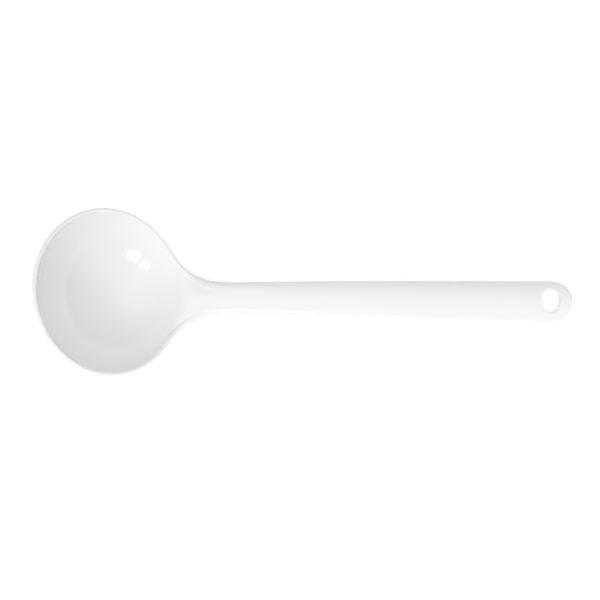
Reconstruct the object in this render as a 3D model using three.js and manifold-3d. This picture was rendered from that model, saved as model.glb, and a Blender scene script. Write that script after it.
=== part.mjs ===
// A sauce ladle moulded in one piece of glossy white melamine. It lies as it does when it is put down, on the
// underside of its bowl and on the tip of its handle. Millimetres, +Z up, the table is z = 0, and +X runs
// from the bowl along the handle. The origin is under the middle of the whole ladle.

import * as THREE from "three";
import { mergeVertices } from "three/addons/utils/BufferGeometryUtils.js";
import Module from "manifold-3d";

const { degToRad, lerp } = THREE.MathUtils;

// Whole length, from the back of the bowl to the tip of the handle.
const OVERALL_LENGTH = 240;

// Bowl: a dome of even wall with a fully rounded lip, leaning towards the handle.
const RIM_DIAMETER = 75;
const BOWL_DEPTH = 26;
const BOWL_WALL = 2.2;
const BOWL_LEAN = degToRad(34.2);

// Neck: the stretch of rim that opens into the handle, how far down the wall it starts, and how far each of
// its surfaces runs on from the bowl, or back from the handle, before it bends. The middle share of the
// handle's crown comes from the inside of the bowl, and the rest from its wall up to the lip.
const NECK_SPREAD = degToRad(45);
const NECK_LENGTH = 24;
const START_INSIDE = 10;
const START_OUTSIDE = 11;
const FLOW_INSIDE = 24;
const FLOW_LIP = 40;
const FLOW_OUTSIDE = 14;
const FLOW_HANDLE = 73;
const FLOW_CORNER = 0.25;
const MIDDLE_OF_CROWN = 0.6;

// Handle: a crowned top, upright sides and a flat back, bowed near the neck and straight towards the tip.
const NECK_WIDTH = 14.2;
const END_WIDTH = 18.4;
const NECK_THICKNESS = 6.8;
const END_THICKNESS = 5;
const NECK_CROWN = 1.7;
const END_CROWN = 2.7;
const SHOULDER_RADIUS = 1.2;
const BACK_EDGE_RADIUS = 0.8;
const TIP_SLOPE = degToRad(3.8);
const STRAIGHT_BACK = 60;
const BOW_RADIUS = 600;

// Eye: an oval hole, wider across the handle than along it, in the middle of the round end.
const HOLE_ALONG = 8.8;
const HOLE_ACROSS = 11.3;

// Planes square to the table at which the moulding is divided into its regions: past the rim, at the end of
// the neck, and back from the tip.
const BOWL_PAST_RIM = 3;
const EYE_LENGTH = 22;

// How far a cutting shape runs past what it cuts.
const CUT_PAST = 10;

// Counts of facets.
const NECK_STEPS = 12;
const RIM_STEPS = 48;
const INSIDE_STEPS = 7;
const WALL_STEPS = 2;
const LIP_STEPS = 4;
const UNDERSIDE_STEPS = 3;
const FOOT_STEPS = 5;
const NECK_RINGS = 10;
const BOWED_RINGS = 9;
const STRAIGHT_RINGS = 3;
const EYE_RINGS = 2;
const TURNED_RINGS = 8;
const HOLE_STEPS = 16;

const wasm = await Module();
wasm.setup();

// A closed run of loose triangles as a solid. Places that coincide are joined, and triangles that have folded
// flat there are left out.
function solidOf(geometry) {
  const bare = new THREE.BufferGeometry();
  bare.setAttribute("position", geometry.getAttribute("position"));
  bare.setIndex(geometry.getIndex());
  const joined = mergeVertices(bare);
  const corners = joined.getIndex().array;
  const kept = [];
  for (let i = 0; i < corners.length; i += 3) {
    const [a, b, c] = corners.slice(i, i + 3);
    if (a !== b && b !== c && c !== a) kept.push(a, b, c);
  }
  return new wasm.Manifold(new wasm.Mesh({
    numProp: 3,
    vertProperties: joined.getAttribute("position").array,
    triVerts: new Uint32Array(kept),
  }));
}

function geometryOf(solid) {
  const { vertProperties, triVerts } = solid.getMesh();
  const geometry = new THREE.BufferGeometry();
  geometry.setAttribute("position", new THREE.BufferAttribute(vertProperties, 3));
  geometry.setIndex(new THREE.BufferAttribute(triVerts, 1));
  geometry.computeVertexNormals();
  return geometry;
}

// Quads from each ring of places to the next, as loose triangles, apart from those that are left open.
function skin(rings, isOpen = () => false) {
  const triangles = [];
  rings.slice(1).forEach((next, row) => {
    const ring = rings[row];
    ring.forEach((place, column) => {
      const beside = (column + 1) % ring.length;
      if (isOpen(row, column)) return;
      triangles.push(place, next[column], next[beside], place, next[beside], ring[beside]);
    });
  });
  return triangles;
}

// Evenly spaced values from one end towards the other, without the last.
function spaced(from, to, steps) {
  return Array.from({ length: steps }, (_, i) => lerp(from, to, i / steps));
}

// Bowl: the middle of the wall is part of a sphere, and the bowl touches the table under the sphere's centre.
const lipRadius = BOWL_WALL / 2;
const middleDepth = BOWL_DEPTH - BOWL_WALL;
const middleRimRadius = RIM_DIAMETER / 2 - lipRadius;
const middleRadius = (middleRimRadius ** 2 + middleDepth ** 2) / (2 * middleDepth);
const insideRadius = middleRadius - lipRadius;
const outsideRadius = middleRadius + lipRadius;
const rimAngle = Math.acos(1 - middleDepth / middleRadius);
const insideStart = rimAngle - START_INSIDE / insideRadius;
const outsideStart = rimAngle - START_OUTSIDE / outsideRadius;

// From the bowl's own axes, with its rim level, to the lying ladle.
const bowlCentre = new THREE.Vector3(0, 0, outsideRadius);
const leaned = new THREE.Matrix4().makeRotationY(BOWL_LEAN).setPosition(bowlCentre);

function bowlPlace(radius, angle, azimuth) {
  const across = radius * Math.sin(angle);
  const down = radius * Math.cos(angle);
  const place = new THREE.Vector3(across * Math.cos(azimuth), across * Math.sin(azimuth), -down);
  return place.applyMatrix4(leaned);
}

// The wall's section, as radius and angle: from the middle of the inside, over the lip, to the middle
// underneath.
function wallSection() {
  const arc = (radius, from, to, steps) => spaced(from, to, steps).map((angle) => [radius, angle]);
  const lip = spaced(0, Math.PI, LIP_STEPS).map((turn) => {
    const out = middleRadius - lipRadius * Math.cos(turn);
    const on = lipRadius * Math.sin(turn);
    return [Math.hypot(out, on), rimAngle + Math.atan2(on, out)];
  });
  return [
    ...arc(insideRadius, 0, insideStart, INSIDE_STEPS),
    ...arc(insideRadius, insideStart, rimAngle, WALL_STEPS),
    ...lip,
    ...arc(outsideRadius, rimAngle, outsideStart, WALL_STEPS),
    ...arc(outsideRadius, outsideStart, BOWL_LEAN, UNDERSIDE_STEPS),
    ...arc(outsideRadius, BOWL_LEAN, 0, FOOT_STEPS),
    [outsideRadius, 0],
  ];
}

const azimuths = [
  ...spaced(-NECK_SPREAD, NECK_SPREAD, NECK_STEPS),
  ...spaced(NECK_SPREAD, 2 * Math.PI - NECK_SPREAD, RIM_STEPS),
];

const bowlRings = wallSection().map(([radius, angle]) => (
  azimuths.map((azimuth) => bowlPlace(radius, angle, azimuth))
));
const firstOpen = INSIDE_STEPS;
const lastOpen = firstOpen + 2 * WALL_STEPS + LIP_STEPS;
const bowlSkin = skin(bowlRings, (row, column) => row >= firstOpen && row < lastOpen && column < NECK_STEPS);
const bowlBack = Math.min(...bowlRings.flat().map((place) => place.x));
const rimFront = Math.max(...bowlRings.flat().map((place) => place.x));

// Handle: its back, thickness and width along X.
const tipX = bowlBack + OVERALL_LENGTH;
const neckEnd = rimFront + NECK_LENGTH;
const eyeX = tipX - END_WIDTH / 2;
const straightFrom = tipX - STRAIGHT_BACK;
const eyeCut = tipX - EYE_LENGTH;

const alongHandle = (x) => Math.min((x - neckEnd) / (eyeX - neckEnd), 1);
const halfWidthAt = (x) => lerp(NECK_WIDTH, END_WIDTH, alongHandle(x)) / 2;

function backAt(x) {
  const straight = (tipX - BACK_EDGE_RADIUS - x) * Math.tan(TIP_SLOPE);
  return straight - Math.max(straightFrom - x, 0) ** 2 / (2 * BOW_RADIUS);
}

function backSlopeAt(x) {
  return Math.max(straightFrom - x, 0) / BOW_RADIUS - Math.tan(TIP_SLOPE);
}

function crownRadiusAt(x) {
  const crown = lerp(NECK_CROWN, END_CROWN, alongHandle(x));
  return (halfWidthAt(x) ** 2 + crown ** 2) / (2 * crown);
}

function topAt(x, y) {
  const crownRadius = crownRadiusAt(x);
  const thickness = lerp(NECK_THICKNESS, END_THICKNESS, alongHandle(x));
  return backAt(x) + thickness - crownRadius + Math.sqrt(crownRadius ** 2 - y ** 2);
}

// One ring round the handle: over the top from -Y to +Y, down one side, back underneath and up the other
// side, with as many places as the opening in the bowl. On the round end a ring is turned about the eye's
// middle.
function handleRing(x, turn) {
  const halfWidth = halfWidthAt(x);
  const planX = (inset) => x + (halfWidth - inset) * Math.sin(turn);
  const planY = (inset) => (halfWidth - inset) * Math.cos(turn);
  const edgeTilt = Math.asin(planY(SHOULDER_RADIUS) / crownRadiusAt(x)) * Math.cos(turn);
  const edgeInset = SHOULDER_RADIUS * (1 - Math.sin(edgeTilt));
  const edgeHeight = topAt(planX(edgeInset), planY(edgeInset));

  const crown = (share) => {
    const y = share * planY(edgeInset);
    return new THREE.Vector3(planX(edgeInset), y, topAt(planX(edgeInset), y));
  };
  const shoulder = (tilt) => {
    const drop = SHOULDER_RADIUS * (Math.cos(edgeTilt) - Math.cos(tilt));
    return [SHOULDER_RADIUS * (1 - Math.sin(tilt)), edgeHeight - drop];
  };
  const backEdge = (tilt) => {
    const inset = BACK_EDGE_RADIUS * (1 - Math.cos(tilt));
    return [inset, backAt(planX(0)) + BACK_EDGE_RADIUS * (1 - Math.sin(tilt))];
  };

  const outerCrown = spaced(1, MIDDLE_OF_CROWN, WALL_STEPS).reverse();
  const below = [
    ...spaced(Math.PI / 2, edgeTilt, LIP_STEPS - 1).reverse().map(shoulder),
    ...spaced(0, Math.PI / 2, WALL_STEPS).map(backEdge),
  ];
  const side = (sign) => [
    ...outerCrown.map((share) => crown(sign * share)),
    ...below.map(([inset, z]) => new THREE.Vector3(planX(inset), sign * planY(inset), z)),
  ];
  const back = (share) => {
    const backX = planX(BACK_EDGE_RADIUS);
    return new THREE.Vector3(backX, share * planY(BACK_EDGE_RADIUS), backAt(backX));
  };

  const across = [...spaced(-1, 1, NECK_STEPS), 1];
  return [
    ...across.map((share) => crown(share * MIDDLE_OF_CROWN)),
    ...side(1),
    ...across.map((share) => back(-share)),
    ...side(-1).reverse(),
  ];
}

const handleRings = [
  ...spaced(neckEnd, straightFrom, BOWED_RINGS).map((x) => handleRing(x, 0)),
  ...spaced(straightFrom, eyeCut, STRAIGHT_RINGS).map((x) => handleRing(x, 0)),
  ...spaced(eyeCut, eyeX, EYE_RINGS).map((x) => handleRing(x, 0)),
  ...spaced(0, Math.PI / 2, TURNED_RINGS).map((turn) => handleRing(eyeX, turn)),
  handleRing(eyeX, Math.PI / 2),
];

// Neck: each place round the opening in the bowl runs to its place on the first ring of the handle. Inside
// and underneath it leaves along the wall, at the two ends of the opening it leaves along the rim, so that
// the lip sweeps round into the edges of the handle.
function neckStart() {
  const rows = Array.from(bowlRings.keys()).slice(firstOpen + 1, lastOpen);
  const columns = Array.from(azimuths.keys()).slice(0, NECK_STEPS + 1);
  const start = (row, column) => ({ row, column, place: bowlRings[row][column] });
  return [
    ...columns.map((column) => start(firstOpen, column)),
    ...rows.map((row) => start(row, NECK_STEPS)),
    ...columns.toReversed().map((column) => start(lastOpen, column)),
    ...rows.toReversed().map((row) => start(row, 0)),
  ];
}

function leavingFlow({ row, column, place }, target) {
  const azimuth = azimuths[column];
  const round = new THREE.Vector3(Math.sin(azimuth), -Math.cos(azimuth), 0).transformDirection(leaned);
  round.multiplyScalar(FLOW_LIP * Math.sign(azimuth));
  const normal = place.clone().sub(bowlCentre).normalize();
  const onward = target.clone().sub(place).projectOnPlane(normal);
  onward.setLength(row < (firstOpen + lastOpen) / 2 ? FLOW_INSIDE : FLOW_OUTSIDE);
  const rowsFromCorner = Math.min(row - firstOpen, lastOpen - row, WALL_STEPS);
  const towardsCorner = FLOW_CORNER * (azimuth / NECK_SPREAD) ** 2;
  return onward.lerp(round, lerp(towardsCorner, 1, rowsFromCorner / WALL_STEPS));
}

const neckOpening = neckStart();
const handleStart = handleRings[0];
const neckFlows = neckOpening.map((start, i) => leavingFlow(start, handleStart[i]));
const handleFlow = new THREE.Vector3(1, 0, backSlopeAt(neckEnd)).setLength(FLOW_HANDLE);

function neckRing(share) {
  const square = share ** 2;
  const cube = share ** 3;
  return neckOpening.map(({ place }, i) => new THREE.Vector3()
    .addScaledVector(place, 2 * cube - 3 * square + 1)
    .addScaledVector(neckFlows[i], cube - 2 * square + share)
    .addScaledVector(handleStart[i], 3 * square - 2 * cube)
    .addScaledVector(handleFlow, cube - square));
}

const neckRings = spaced(0, 1, NECK_RINGS).map(neckRing);

// The whole moulding, with the eye cut square to the straight end of the handle.
const shell = new THREE.BufferGeometry();
shell.setFromPoints([...bowlSkin, ...skin([...neckRings, ...handleRings])]);

const holeOutline = new THREE.Shape().absellipse(0, 0, HOLE_ALONG / 2, HOLE_ACROSS / 2, 0, 2 * Math.PI);
const holeDepth = END_THICKNESS + 2 * CUT_PAST;
const hole = new THREE.ExtrudeGeometry(holeOutline, {
  depth: holeDepth,
  bevelEnabled: false,
  curveSegments: HOLE_STEPS,
});
hole.translate(0, 0, -holeDepth / 2).rotateY(TIP_SLOPE).translate(eyeX, 0, backAt(eyeX) + END_THICKNESS / 2);

const moulding = solidOf(shell).subtract(solidOf(hole));

// A slab of space between two planes square to X, wider and taller than the whole ladle.
shell.computeBoundingBox();
const around = shell.boundingBox.clone().expandByScalar(CUT_PAST);

function slab(from, to) {
  const size = around.getSize(new THREE.Vector3());
  const centre = around.getCenter(new THREE.Vector3());
  const box = new THREE.BoxGeometry(to - from, size.y, size.z);
  return solidOf(box.translate((from + to) / 2, centre.y, centre.z));
}

const bowlCut = rimFront + BOWL_PAST_RIM;
const regions = [
  { name: "bowl", from: around.min.x, to: bowlCut },
  { name: "neck", from: bowlCut, to: neckEnd },
  { name: "handle", from: neckEnd, to: eyeCut },
  { name: "hanging_eye", from: eyeCut, to: around.max.x },
];

const whiteMelamine = new THREE.MeshStandardMaterial({ color: 0xf1f1ef, roughness: 0.16, metalness: 0 });

const ladle = new THREE.Group();
ladle.name = "sauce_ladle";
for (const { name, from, to } of regions) {
  const region = new THREE.Mesh(geometryOf(moulding.intersect(slab(from, to))), whiteMelamine);
  region.name = name;
  ladle.add(region);
}
ladle.position.x = -(bowlBack + tipX) / 2;

export default ladle;
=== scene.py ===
import math

import bmesh
import bpy
from mathutils import Matrix, Vector


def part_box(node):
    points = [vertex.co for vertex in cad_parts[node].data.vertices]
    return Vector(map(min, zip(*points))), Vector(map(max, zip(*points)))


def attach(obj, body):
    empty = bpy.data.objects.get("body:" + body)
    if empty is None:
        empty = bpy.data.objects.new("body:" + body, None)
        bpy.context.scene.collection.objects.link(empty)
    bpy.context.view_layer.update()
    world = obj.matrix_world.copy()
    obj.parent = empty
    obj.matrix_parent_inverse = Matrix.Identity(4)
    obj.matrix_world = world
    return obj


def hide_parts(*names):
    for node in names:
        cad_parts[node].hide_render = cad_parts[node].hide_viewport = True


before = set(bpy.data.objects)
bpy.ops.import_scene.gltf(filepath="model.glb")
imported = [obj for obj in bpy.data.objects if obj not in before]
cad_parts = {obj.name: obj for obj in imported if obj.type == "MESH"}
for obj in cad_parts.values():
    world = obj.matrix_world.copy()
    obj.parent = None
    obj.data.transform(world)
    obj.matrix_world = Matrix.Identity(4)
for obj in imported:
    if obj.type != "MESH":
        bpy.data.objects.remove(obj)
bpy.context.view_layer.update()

# Bowl of the ladle: a round dish of even wall with a fully rounded lip, pressed in white melamine
# in one piece with its neck and handle. It leans towards the handle and rests on its underside.
RIM_DIAMETER = 0.0748
BOWL_DEPTH = 0.0259
BOWL_WALL = 0.0019
BOWL_LEAN = math.radians(33.0)
BOWL_X = -0.0793
BOWL_STEPS = 64
INSIDE_ROWS = 10
LIP_ROWS = 9
UNDERSIDE_ROWS = 9
NECK_COLUMNS = 14
NECK_INSIDE_ROWS = 3
NECK_OUTSIDE_ROWS = 4
START_INSIDE = 0.004
START_OUTSIDE = 0.011
SAME_PLACE = 0.00001

lip_radius = BOWL_WALL / 2
middle_depth = BOWL_DEPTH - BOWL_WALL
middle_rim = RIM_DIAMETER / 2 - lip_radius
middle_radius = (middle_rim ** 2 + middle_depth ** 2) / (2 * middle_depth)
inside_radius = middle_radius - lip_radius
outside_radius = middle_radius + lip_radius
rim_angle = math.acos(1 - middle_depth / middle_radius)
inside_start = rim_angle - START_INSIDE / inside_radius
outside_start = rim_angle - START_OUTSIDE / outside_radius
neck_spread = math.pi * NECK_COLUMNS / BOWL_STEPS
lip_middle = Vector((math.sin(rim_angle), 0, -math.cos(rim_angle))) * middle_radius
leaning = Matrix.Rotation(BOWL_LEAN, 3, "Y")
bowl_centre = Vector((BOWL_X, 0, outside_radius))

# The wall's section runs from the middle of the inside over the lip to the middle underneath, and is
# swept round.
moulding = bmesh.new()
section_end = [moulding.verts.new((0, 0, -inside_radius))]
arcs = (
    (Vector(), -1, inside_start, INSIDE_ROWS),
    (Vector(), -1, rim_angle - inside_start, NECK_INSIDE_ROWS),
    (lip_middle, 1, math.pi, LIP_ROWS),
    (Vector(), 1, rim_angle - outside_start, NECK_OUTSIDE_ROWS),
    (Vector(), 1, outside_start, UNDERSIDE_ROWS),
)
for centre, sense, angle, steps in arcs:
    arc = bmesh.ops.spin(
        moulding, geom=section_end, cent=centre, axis=(0, sense, 0), angle=angle, steps=steps
    )
    section_end = arc["geom_last"]
section = moulding.verts[:] + moulding.edges[:]
bmesh.ops.spin(
    moulding, geom=section, axis=(0, 0, 1), angle=2 * math.pi, steps=BOWL_STEPS, use_merge=True
)
bmesh.ops.remove_doubles(moulding, verts=moulding.verts, dist=SAME_PLACE)


def opens_into_neck(face):
    middle = face.calc_center_median()
    angle = math.atan2(middle.xy.length, -middle.z)
    start = inside_start if middle.length < middle_radius else outside_start
    return abs(math.atan2(middle.y, middle.x)) < neck_spread and angle > start


neck_mouth = [face for face in moulding.faces if opens_into_neck(face)]
bmesh.ops.delete(moulding, geom=neck_mouth, context="FACES")
bmesh.ops.rotate(moulding, verts=moulding.verts, matrix=leaning)
bmesh.ops.translate(moulding, verts=moulding.verts, vec=bowl_centre)

# Handle with its eye: a slender shaft of the same moulding with a crowned top, upright sides and a
# flat back, gently bowed, that widens to a round end with an oval hole. Near the neck a soft ridge on
# each side of the crown carries the line of the bowl's lip on, and fades out.
NECK_WIDTH = 0.0142
END_WIDTH = 0.0184
NECK_THICKNESS = 0.0068
END_THICKNESS = 0.005
NECK_CROWN = 0.0017
END_CROWN = 0.0027
TIP_SLOPE = math.radians(3.8)
STRAIGHT_BACK = 0.060
BOW_RADIUS = 0.600
SHOULDER_RADIUS = 0.0012
BACK_EDGE_RADIUS = 0.0008
HOLE_EDGE_RADIUS = 0.0004
SHOULDER_SEGMENTS = 4
EDGE_SEGMENTS = 2
ROUND_PROFILE = 0.5
SHARP_ANGLE = math.radians(45)
MIDDLE_OF_TOP = 0.0028
RIDGE_FROM = 0.0044
RIDGE_TO = 0.0058
RIDGE_PLACE = 0.005
RIDGE_SOFTNESS = 0.0004
RIDGE_INNER_SLOPE = 0.12
RIDGE_TURN = 0.5
RIDGE_LENGTH = 0.030
SHAFT_STEPS = 20
EYE_SIDE_STEPS = 3
EYE_ARC_STEPS = 20
EYE_RINGS = 3
EYE_INSET = 0.0005
HOLE_ALONG = 0.0088
HOLE_ACROSS = 0.0113
HOLE_SETBACK = 0.001
SAME_SHARE = 0.001

neck_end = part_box("handle")[0].x
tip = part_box("hanging_eye")[1].x
end_radius = END_WIDTH / 2
eye_x = tip - end_radius
eye_middle = Vector((eye_x, 0, 0))
hole_middle = Vector((eye_x - HOLE_SETBACK, 0, 0))
shaft_end = eye_x - end_radius
middle_of_ring = (HOLE_ACROSS + END_WIDTH) / 4


def lerp(start, end, share):
    return start + (end - start) * share


def along_handle(x):
    return min((x - neck_end) / (eye_x - neck_end), 1)


def half_width(x):
    return lerp(NECK_WIDTH, END_WIDTH, along_handle(x)) / 2


def crown_drop(x, y):
    crown = lerp(NECK_CROWN, END_CROWN, along_handle(x))
    crown_radius = (half_width(x) ** 2 + crown ** 2) / (2 * crown)
    return crown_radius - math.sqrt(crown_radius ** 2 - y ** 2)


def ridge_drop(y):
    """How far the top falls off from its middle, gently up to the ridge and steeply past it."""
    past = (abs(y) - RIDGE_PLACE) / RIDGE_SOFTNESS
    bend = RIDGE_SOFTNESS * math.log(1 + math.exp(past))
    return RIDGE_INNER_SLOPE * y ** 2 / (2 * RIDGE_PLACE) + RIDGE_TURN * bend


def top_height(x, y):
    faded = min(max((x - neck_end) / RIDGE_LENGTH, 0), 1)
    ridge_share = 1 - faded ** 2 * (3 - 2 * faded)
    thickness = lerp(NECK_THICKNESS, END_THICKNESS, along_handle(x))
    return thickness - lerp(crown_drop(x, y), ridge_drop(y), ridge_share)


def back_height(x):
    straight = (tip - BACK_EDGE_RADIUS - x) * math.tan(TIP_SLOPE)
    return straight - max(tip - STRAIGHT_BACK - x, 0) ** 2 / (2 * BOW_RADIUS)


def draw_out(verts, x):
    """Moves verts of the plan along to x and widens them to the handle's width there."""
    wider = half_width(x) / half_width(verts[0].co.x)
    bmesh.ops.translate(handle, verts=verts, vec=(x - verts[0].co.x, 0, 0))
    bmesh.ops.scale(handle, verts=verts, vec=(1, wider, 1))


# Plan of the handle, flat: a row of edges across, with a column for each row of the bowl that runs
# into it, drawn out along it to the eye.
bands = (
    (0, MIDDLE_OF_TOP, NECK_COLUMNS // 2),
    (MIDDLE_OF_TOP, RIDGE_FROM, NECK_INSIDE_ROWS),
    (RIDGE_FROM, RIDGE_TO, LIP_ROWS - SHOULDER_SEGMENTS - 1),
    (RIDGE_TO, NECK_WIDTH / 2, 1),
)
half_row = []
for inner, outer, columns in bands:
    half_row += [lerp(inner, outer, (i + 1) / columns) for i in range(columns)]
whole_row = [-y for y in reversed(half_row)] + [0] + half_row
handle = bmesh.new()
row = [handle.verts.new((neck_end, y, 0)) for y in whole_row]
row_edges = [handle.edges.new(pair) for pair in zip(row, row[1:])]
for step in range(SHAFT_STEPS):
    drawn = bmesh.ops.extrude_edge_only(handle, edges=row_edges)["geom"]
    row = [part for part in drawn if isinstance(part, bmesh.types.BMVert)]
    drawn_edges = [part for part in drawn if isinstance(part, bmesh.types.BMEdge)]
    row_edges = [edge for edge in drawn_edges if set(edge.verts) <= set(row)]
    draw_out(row, lerp(neck_end, shaft_end, (step + 1) / SHAFT_STEPS))

# The round end in plan: its outline is filled, set in and drawn to the oval of the hole.
left = max(row, key=lambda vert: vert.co.y)
right = min(row, key=lambda vert: vert.co.y)
for step in range(EYE_SIDE_STEPS):
    left, right = bmesh.ops.extrude_vert_indiv(handle, verts=[left, right])["verts"]
    draw_out([left, right], lerp(shaft_end, eye_x, (step + 1) / EYE_SIDE_STEPS))
arc = bmesh.ops.spin(
    handle, geom=[left], cent=eye_middle, axis=(0, 0, -1), angle=math.pi, steps=EYE_ARC_STEPS
)
bmesh.ops.remove_doubles(handle, verts=[right, *arc["geom_last"]], dist=SAME_PLACE)
outline = row_edges + [edge for edge in handle.edges if edge.is_wire]
end_face = bmesh.ops.edgeloop_fill(handle, edges=outline)["faces"][0]
bmesh.ops.inset_individual(handle, faces=[end_face], thickness=EYE_INSET)
hole = end_face.verts[:]
bmesh.ops.delete(handle, geom=[end_face], context="FACES_ONLY")
for vert in hole:
    away = (vert.co - hole_middle).normalized()
    stretched = Vector((away.x / HOLE_ALONG, away.y / HOLE_ACROSS))
    vert.co = hole_middle + away / stretched.length / 2
spokes = [edge for vert in hole for edge in vert.link_edges if not edge.is_boundary]
bmesh.ops.subdivide_edges(handle, edges=spokes, cuts=EYE_RINGS, use_grid_fill=True)

# The plan is drawn up to the crowned top. The back keeps only as many columns as the underside of
# the bowl has.
drawn = bmesh.ops.extrude_face_region(handle, geom=handle.faces[:], use_keep_orig=True)["geom"]
for vert in drawn:
    if isinstance(vert, bmesh.types.BMVert):
        vert.co.z = top_height(vert.co.x, vert.co.y)


def closes_neck_end(face):
    return all(abs(vert.co.x - neck_end) < SAME_PLACE for vert in face.verts)


def is_spare_column(edge):
    shares = [abs(vert.co.y) / half_width(vert.co.x) for vert in edge.verts]
    runs_along = abs(shares[0] - shares[1]) < SAME_SHARE
    is_on_shaft = max(vert.co.x for vert in edge.verts) < shaft_end + SAME_PLACE
    is_on_back = max(vert.co.z for vert in edge.verts) < SAME_PLACE
    is_past_middle = MIDDLE_OF_TOP * 2 / NECK_WIDTH + SAME_SHARE < shares[0] < 1 - SAME_SHARE
    return runs_along and is_on_shaft and is_on_back and is_past_middle


cap = [face for face in handle.faces if closes_neck_end(face)]
bmesh.ops.delete(handle, geom=cap, context="FACES")
spare = [edge for edge in handle.edges if is_spare_column(edge)]
bmesh.ops.dissolve_edges(handle, edges=spare, use_verts=True)
bmesh.ops.recalc_face_normals(handle, faces=handle.faces)

# Its edges are rounded, and then it is bowed.
shoulder = []
back_edges = []
hole_edges = []
for edge in handle.edges:
    if edge.is_manifold and edge.calc_face_angle() > SHARP_ANGLE:
        middle = (edge.verts[0].co + edge.verts[1].co) / 2
        if (middle.xy - hole_middle.xy).length < middle_of_ring:
            hole_edges.append(edge)
        elif middle.z > BACK_EDGE_RADIUS:
            shoulder.append(edge)
        else:
            back_edges.append(edge)
roundings = (
    (shoulder, SHOULDER_RADIUS, SHOULDER_SEGMENTS),
    (back_edges, BACK_EDGE_RADIUS, EDGE_SEGMENTS),
    (hole_edges, HOLE_EDGE_RADIUS, EDGE_SEGMENTS),
)
for edges, radius, segments in roundings:
    bmesh.ops.bevel(
        handle, geom=edges, offset=radius, offset_type="OFFSET", segments=segments,
        profile=ROUND_PROFILE, affect="EDGES", clamp_overlap=True, material=-1,
    )
for vert in handle.verts:
    vert.co.z += back_height(vert.co.x)
handle_mesh = bpy.data.meshes.new("handle")
handle.to_mesh(handle_mesh)
handle.free()

# Neck: the flare of the same moulding, where the inside of the bowl runs on as the top of the
# handle, the lip sweeps round into the ridges, and the underside closes to the flat back.
NECK_RINGS = 9
SUBDIVISIONS = 2
FLOW_INSIDE = 0.026
FLOW_LIP = 0.039
FLOW_OUTSIDE = 0.014
FLOW_HANDLE = 0.036
FLOW_CORNER = 0.4

handle_slope = max(tip - STRAIGHT_BACK - neck_end, 0) / BOW_RADIUS - math.tan(TIP_SLOPE)
handle_flow = Vector((1, 0, handle_slope)).normalized() * FLOW_HANDLE
handle_bend = Vector((0, 0, -FLOW_HANDLE ** 2 / BOW_RADIUS))


def bowl_flow(place, target):
    """How a strand of the neck leaves the bowl, along its wall or rim, and how it bends there."""
    radius = (place - bowl_centre).length
    normal = (place - bowl_centre) / radius
    upright = leaning.inverted() @ normal
    angle = math.acos(-upright.z)
    azimuth = math.atan2(upright.y, upright.x)
    is_inside = radius < middle_radius
    start = inside_start if is_inside else outside_start
    wall_reach = FLOW_INSIDE if is_inside else FLOW_OUTSIDE
    on = target - place
    along_wall = (on - normal * normal.dot(on)).normalized() * wall_reach
    away = leaning @ Vector((math.cos(azimuth), math.sin(azimuth), 0))
    rim_tangent = leaning @ Vector((math.sin(azimuth), -math.cos(azimuth), 0))
    along_rim = rim_tangent * math.copysign(FLOW_LIP, azimuth)
    corner_share = FLOW_CORNER * (azimuth / neck_spread) ** 2
    lip_share = lerp(corner_share, 1, min(max((angle - start) / (rim_angle - start), 0), 1))
    flow = along_wall.lerp(along_rim, lip_share)
    wall_bend = normal * (-flow.length_squared / radius)
    rim_bend = away * (-flow.length_squared / (radius * math.sin(angle)))
    return flow, wall_bend.lerp(rim_bend, lip_share)


# Each strand of the bridge carries its two ends and how it leaves the bowl, and its share tells how
# far along it a place is. Its places blend both ends, with their flow and bend, by quintic curves.
moulding.from_mesh(handle_mesh)
bpy.data.meshes.remove(handle_mesh)
share_layer = moulding.verts.layers.float.new("share")
vectors = moulding.verts.layers.float_vector
strand_parts = ("start", "flow", "bend", "end")
for name in strand_parts:
    vectors.new(name)
mouths = [edge for edge in moulding.edges if edge.is_boundary]
strands = bmesh.ops.bridge_loops(moulding, edges=mouths)["edges"]
for strand in strands:
    start, end = sorted(strand.verts, key=lambda vert: vert.co.x)
    flow, bend = bowl_flow(start.co, end.co)
    end[share_layer] = 1
    for vert in (start, end):
        for name, value in zip(strand_parts, (start.co, flow, bend, end.co)):
            vert[vectors[name]] = value
bmesh.ops.subdivide_edges(moulding, edges=strands, cuts=NECK_RINGS, use_grid_fill=True)
for vert in moulding.verts:
    t = vert[share_layer]
    if 0 < t < 1:
        arrived = 10 * t ** 3 - 15 * t ** 4 + 6 * t ** 5
        vert.co = vert[vectors["start"]] * (1 - arrived) + vert[vectors["end"]] * arrived
        vert.co += vert[vectors["flow"]] * (t - 6 * t ** 3 + 8 * t ** 4 - 3 * t ** 5)
        vert.co += vert[vectors["bend"]] * (t ** 2 - 3 * t ** 3 + 3 * t ** 4 - t ** 5) / 2
        vert.co += handle_flow * (7 * t ** 4 - 4 * t ** 3 - 3 * t ** 5)
        vert.co += handle_bend * (t ** 3 - 2 * t ** 4 + t ** 5) / 2
moulding.verts.layers.float.remove(share_layer)
for name in strand_parts:
    vectors.remove(vectors[name])
bmesh.ops.recalc_face_normals(moulding, faces=moulding.faces)

mesh = bpy.data.meshes.new("moulding")
moulding.to_mesh(mesh)
moulding.free()
for polygon in mesh.polygons:
    polygon.use_smooth = True
ladle = bpy.data.objects.new("moulding", mesh)
bpy.context.scene.collection.objects.link(ladle)
rounding = ladle.modifiers.new("rounding", "SUBSURF")
rounding.levels = SUBDIVISIONS
rounding.render_levels = SUBDIVISIONS


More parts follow.
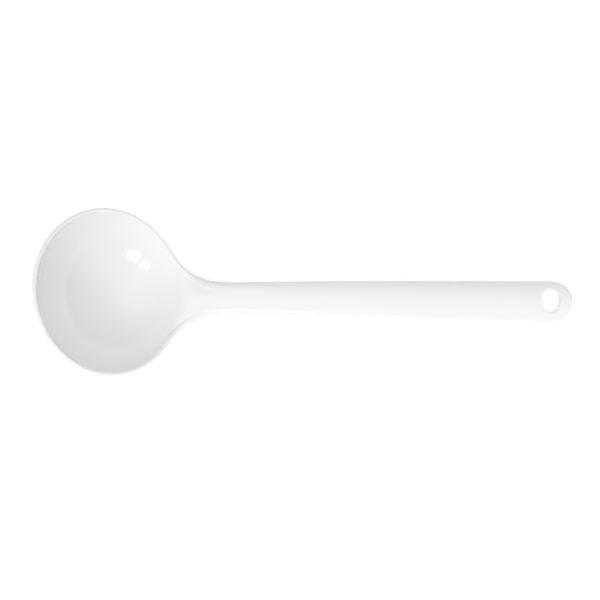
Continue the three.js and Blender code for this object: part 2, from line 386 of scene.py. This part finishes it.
class Socket:
    """One output of a shader node, so that shading can be written as plain arithmetic."""

    def __init__(self, tree, output):
        self.tree = tree
        self.output = output

    def node(self, kind, settings, inputs, output=0):
        made = self.tree.nodes.new(kind)
        for name, value in settings.items():
            setattr(made, name, value)
        for name, value in inputs.items():
            if isinstance(value, Socket):
                self.tree.links.new(value.output, made.inputs[name])
            else:
                made.inputs[name].default_value = value
        return Socket(self.tree, made.outputs[output])

    def maths(self, operation, first, second):
        return self.node("ShaderNodeMath", {"operation": operation}, {0: first, 1: second})

    def __add__(self, other):
        return self.maths("ADD", self, other)

    __radd__ = __add__

    def __mul__(self, other):
        return self.maths("MULTIPLY", self, other)

    def __sub__(self, other):
        return self.maths("SUBTRACT", self, other)

    def __rsub__(self, other):
        return self.maths("SUBTRACT", other, self)

    def __pow__(self, other):
        return self.maths("POWER", self, other)


# Its melamine is white all through and polished in the mould: the white has faint clouds about a
# finger's width across, the gloss is a touch uneven, and the skin ripples like a pressed surface.
MELAMINE_WHITE = (0.875, 0.875, 0.872, 1)
MELAMINE_CLOUD = (0.862, 0.863, 0.862, 1)
CLOUD_SIZE = 0.025
CLOUD_DETAIL = 2
GLOSS_SIZE = 0.004
GLOSS_DETAIL = 3
GLOSS_ROUGHNESS = 0.09
GLOSS_SPREAD = 0.04
RIPPLE_SIZE = 0.0016
RIPPLE_DETAIL = 1
RIPPLE_HEIGHT = 0.000002
RIPPLE_STRENGTH = 0.25
MELAMINE_IOR = 1.6
# The colour sockets of a mix node, by their place
MIX_SHARE = 0
MIX_FIRST = 6
MIX_SECOND = 7
MIX_RESULT = 2

melamine = bpy.data.materials.new("white_melamine")
melamine.use_nodes = True
tree = melamine.node_tree
shader = tree.nodes["Principled BSDF"]
place = Socket(tree, tree.nodes.new("ShaderNodeTexCoord").outputs["Object"])


def noise(size, detail):
    inputs = {"Vector": place, "Scale": 1 / size, "Detail": detail}
    return place.node("ShaderNodeTexNoise", {}, inputs)


clouds = noise(CLOUD_SIZE, CLOUD_DETAIL)
shades = {MIX_SHARE: clouds, MIX_FIRST: MELAMINE_WHITE, MIX_SECOND: MELAMINE_CLOUD}
tint = clouds.node("ShaderNodeMix", {"data_type": "RGBA"}, shades, MIX_RESULT)
gloss = noise(GLOSS_SIZE, GLOSS_DETAIL) * GLOSS_SPREAD + (GLOSS_ROUGHNESS - GLOSS_SPREAD / 2)
ripple = noise(RIPPLE_SIZE, RIPPLE_DETAIL)
bump = {"Height": ripple, "Distance": RIPPLE_HEIGHT, "Strength": RIPPLE_STRENGTH}
skin = ripple.node("ShaderNodeBump", {}, bump, "Normal")
tree.links.new(tint.output, shader.inputs["Base Color"])
tree.links.new(gloss.output, shader.inputs["Roughness"])
tree.links.new(skin.output, shader.inputs["Normal"])
shader.inputs["IOR"].default_value = MELAMINE_IOR
mesh.materials.append(melamine)
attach(ladle, "root")
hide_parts("bowl", "neck", "handle", "hanging_eye")

# Table: a plain white sheet, seen at full white apart from the ladle's faint shadow.
FLOOR_SIZE = 3
FLOOR_GREY = 0.8
FLOOR_LIFT = 0.42

sheet = bmesh.new()
bmesh.ops.create_grid(sheet, x_segments=1, y_segments=1, size=FLOOR_SIZE)
floor_mesh = bpy.data.meshes.new("floor")
sheet.to_mesh(floor_mesh)
sheet.free()
floor = bpy.data.objects.new("floor", floor_mesh)
bpy.context.scene.collection.objects.link(floor)
floor_paint = bpy.data.materials.new("floor_white")
floor_paint.use_nodes = True
floor_mesh.materials.append(floor_paint)
tree = floor_paint.node_tree
tree.nodes.remove(tree.nodes["Principled BSDF"])


def kinds_of_ray(tree):
    """Whether a ray comes from the camera, from a glossy surface or through a clear one."""
    path = tree.nodes.new("ShaderNodeLightPath")
    kinds = ("Is Camera Ray", "Is Glossy Ray", "Is Transmission Ray")
    return [Socket(tree, path.outputs[kind]) for kind in kinds]


camera_ray, glossy_ray, clear_ray = kinds_of_ray(tree)
seen = camera_ray + glossy_ray + clear_ray
matt = seen.node("ShaderNodeBsdfDiffuse", {}, {"Color": (FLOOR_GREY, FLOOR_GREY, FLOOR_GREY, 1)})
lift = seen.node("ShaderNodeEmission", {}, {"Strength": seen * FLOOR_LIFT})
both = seen.node("ShaderNodeAddShader", {}, {0: matt, 1: lift})
tree.links.new(both.output, tree.nodes["Material Output"].inputs["Surface"])

# Light: a studio that glows overhead, in front, behind at the right and on both sides, and two soft
# boxes in front of the ladle that show as small highlights in its bowl. What the gloss reflects is
# dim walls with a pale panel overhead and one at the front right.
STUDIO_WHITE = (1, 1, 1, 1)
STUDIO_LIGHT = 0.19
studio_glows = {
    "overhead": dict(towards=(0, 0, 1), focus=8, strength=1.05),
    "front": dict(towards=(0, -0.90, 0.44), focus=8, strength=1.55),
    "front_left": dict(towards=(-0.375, -0.375, 0.848), focus=8, strength=0.79),
    "left": dict(towards=(-0.90, 0, 0.44), focus=8, strength=0.85),
    "back_right": dict(towards=(0.635, 0.635, 0.44), focus=8, strength=1.00),
    "right": dict(towards=(0.53, 0, 0.85), focus=8, strength=0.78),
}
WALL_REFLECTION = 0.25
reflected_panels = {
    "overhead": dict(towards=(0, 0.17, 0.985), focus=10, strength=0.55),
    "front_right": dict(towards=(0.85, -0.50, 0.15), focus=6, strength=0.40),
}
LAMP_DISTANCE = 1.5
lamp_target = Vector((-0.04, 0, 0.02))
lamps = {
    "soft_box_low": dict(azimuth=-100, height=38, width=0.40, tall=0.42, power=1.7),
    "soft_box_high": dict(azimuth=-123, height=46, width=0.29, tall=0.31, power=0.9),
}

world = bpy.data.worlds.new("studio")
bpy.context.scene.world = world
world.use_nodes = True
tree = world.node_tree
way = Socket(tree, tree.nodes.new("ShaderNodeTexCoord").outputs["Generated"])


def with_glows(ground, glows):
    for glow in glows.values():
        sides = {0: way, 1: glow["towards"]}
        facing = way.node("ShaderNodeVectorMath", {"operation": "DOT_PRODUCT"}, sides, "Value")
        ground = ground + facing.maths("MAXIMUM", facing, 0) ** glow["focus"] * glow["strength"]
    return ground


light = with_glows(STUDIO_LIGHT, studio_glows)
reflection = with_glows(WALL_REFLECTION, reflected_panels)
camera_ray, glossy_ray, clear_ray = kinds_of_ray(tree)
seen = camera_ray + clear_ray
strength = seen + glossy_ray * reflection + (1 - seen - glossy_ray) * light
tree.nodes["Background"].inputs["Color"].default_value = STUDIO_WHITE
tree.links.new(strength.output, tree.nodes["Background"].inputs["Strength"])

for name, lamp in lamps.items():
    lamp_data = bpy.data.lights.new(name, "AREA")
    lamp_data.shape = "RECTANGLE"
    lamp_data.size = lamp["width"]
    lamp_data.size_y = lamp["tall"]
    lamp_data.energy = lamp["power"]
    soft_box = bpy.data.objects.new(name, lamp_data)
    turn = Matrix.Rotation(math.radians(lamp["azimuth"]), 3, "Z")
    rise = Matrix.Rotation(-math.radians(lamp["height"]), 3, "Y")
    away = turn @ rise @ Vector((1, 0, 0))
    soft_box.location = lamp_target + away * LAMP_DISTANCE
    soft_box.rotation_euler = away.to_track_quat("Z", "Y").to_euler()
    bpy.context.scene.collection.objects.link(soft_box)

# Camera: nearly straight down, from a little in front of the ladle.
CAMERA_LEAN = math.radians(6.65)
CAMERA_ROLL = math.radians(0.39)
CAMERA_DISTANCE = 0.9986
CAMERA_LENS = 132
CAMERA_SENSOR = 36
camera_target = Vector((-0.003327, 0.00015, 0))

camera_data = bpy.data.cameras.new("camera")
camera_data.lens = CAMERA_LENS
camera_data.sensor_width = CAMERA_SENSOR
camera = bpy.data.objects.new("camera", camera_data)
lean = Matrix.Rotation(CAMERA_LEAN, 4, "X")
stand_off = Matrix.Translation((0, 0, CAMERA_DISTANCE))
roll = Matrix.Rotation(CAMERA_ROLL, 4, "Z")
camera.matrix_world = Matrix.Translation(camera_target) @ lean @ stand_off @ roll
bpy.context.scene.collection.objects.link(camera)
bpy.context.scene.camera = camera
bpy.context.scene.view_settings.view_transform = "Standard"
